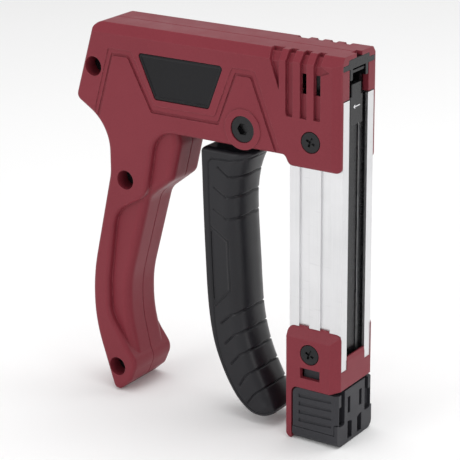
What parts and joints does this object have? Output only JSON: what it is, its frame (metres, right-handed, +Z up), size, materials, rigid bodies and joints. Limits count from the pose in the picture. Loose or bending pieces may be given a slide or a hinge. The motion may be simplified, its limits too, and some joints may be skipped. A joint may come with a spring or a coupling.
{
  "type": "staple gun",
  "caption": "Hand squeezed staple gun with a fixed rear handle, a front squeeze lever and an upright staple magazine at the nose.",
  "frame": {"origin": "centre of the bounding box at the height of the surface that the gun stands on", "axes": "+X is the way a staple leaves the nose, +Z is up along the magazine, +Y is the gun's left side"},
  "size_m": [0.1436, 0.032, 0.1824],
  "materials": {
    "housing_plastic": "matte dark red moulded plastic",
    "black_plastic": "matte black moulded plastic",
    "grip_rubber": "black soft-touch rubber",
    "badge": "blank gloss black badge plate",
    "black_steel": "black oxide steel",
    "steel": "plain zinc plated steel",
    "aluminium": "satin anodised aluminium",
    "spring_steel": "bright spring wire",
    "bumper_rubber": "black rubber"
  },
  "bodies": {
    "root": {"housing_right": "housing_plastic", "housing_left": "housing_plastic", "badge_right": "badge", "badge_left": "badge", "housing_screws": "black_steel", "magazine_screws": "black_steel", "pivot_bolt": "black_steel", "pivot_nut": "black_steel", "magazine_extrusion": "aluminium", "channel_strip_right": "black_steel", "channel_strip_left": "black_steel", "magazine_end_cap": "housing_plastic", "nose_plate": "black_steel", "nose_guide": "black_steel", "crank_pin": "steel", "frame_plate_right": "steel", "frame_plate_left": "steel", "bumper": "bumper_rubber", "spring_seat": "steel", "spring_guide": "steel", "drive_spring": "spring_steel", "lever_spring": "spring_steel"},
    "lever": {"lever_core": "black_steel", "lever_grip": "grip_rubber", "pivot_bushing": "steel"},
    "crank": {"bell_crank": "steel"},
    "driver": {"plunger": "steel", "driver_blade": "black_steel", "drive_pin": "steel"},
    "tail": {"tail_cap": "black_plastic", "staple_rail": "black_steel", "guide_rod": "steel", "pusher_spring": "spring_steel"},
    "pusher": {"pusher": "black_steel"},
    "pad_right": {"press_pad_right": "black_plastic"},
    "pad_left": {"press_pad_left": "black_plastic"}
  },
  "joints": [
    {"name": "lever_pivot", "type": "hinge", "parent": "root", "child": "lever", "pos_m": [0.0213, 0, 0.1438], "axis": [0, 1, 0], "range_deg": [0, 20], "stiffness_Nm_per_rad": 1.2, "springref_deg": -20.05, "deforming": ["lever_spring"]},
    {"name": "crank_pivot", "type": "hinge", "parent": "root", "child": "crank", "pos_m": [0.0353, 0, 0.1551], "axis": [0, 1, 0], "range_deg": [-40.01, 0]},
    {"name": "driver_slide", "type": "slide", "parent": "root", "child": "driver", "axis": [1, 0, 0], "range_m": [-0.01201, 0], "deforming": ["drive_spring"]},
    {"name": "tail_slide", "type": "slide", "parent": "root", "child": "tail", "axis": [0, 0, 1], "range_m": [-0.11, 0]},
    {"name": "pusher_slide", "type": "slide", "parent": "tail", "child": "pusher", "axis": [0, 0, 1], "range_m": [-0.1, 0], "stiffness_N_per_m": 15, "springref_m": 0.03, "deforming": ["pusher_spring"]},
    {"name": "press_pad_right_press", "type": "hinge", "parent": "tail", "child": "pad_right", "pos_m": [0.0595, -0.0139, 0.0066], "axis": [-1, 0, 0], "range_deg": [0, 4], "stiffness_Nm_per_rad": 0.3, "springref_deg": -8.59},
    {"name": "press_pad_left_press", "type": "hinge", "parent": "tail", "child": "pad_left", "pos_m": [0.0595, 0.0139, 0.0066], "axis": [1, 0, 0], "range_deg": [0, 4], "stiffness_Nm_per_rad": 0.3, "springref_deg": -8.59}
  ],
  "couplings": [
    {"joint": "crank_pivot", "follows": "lever_pivot", "ratio": -2},
    {"joint": "driver_slide", "follows": "lever_pivot", "m_per_rad": -0.0344}
  ]
}
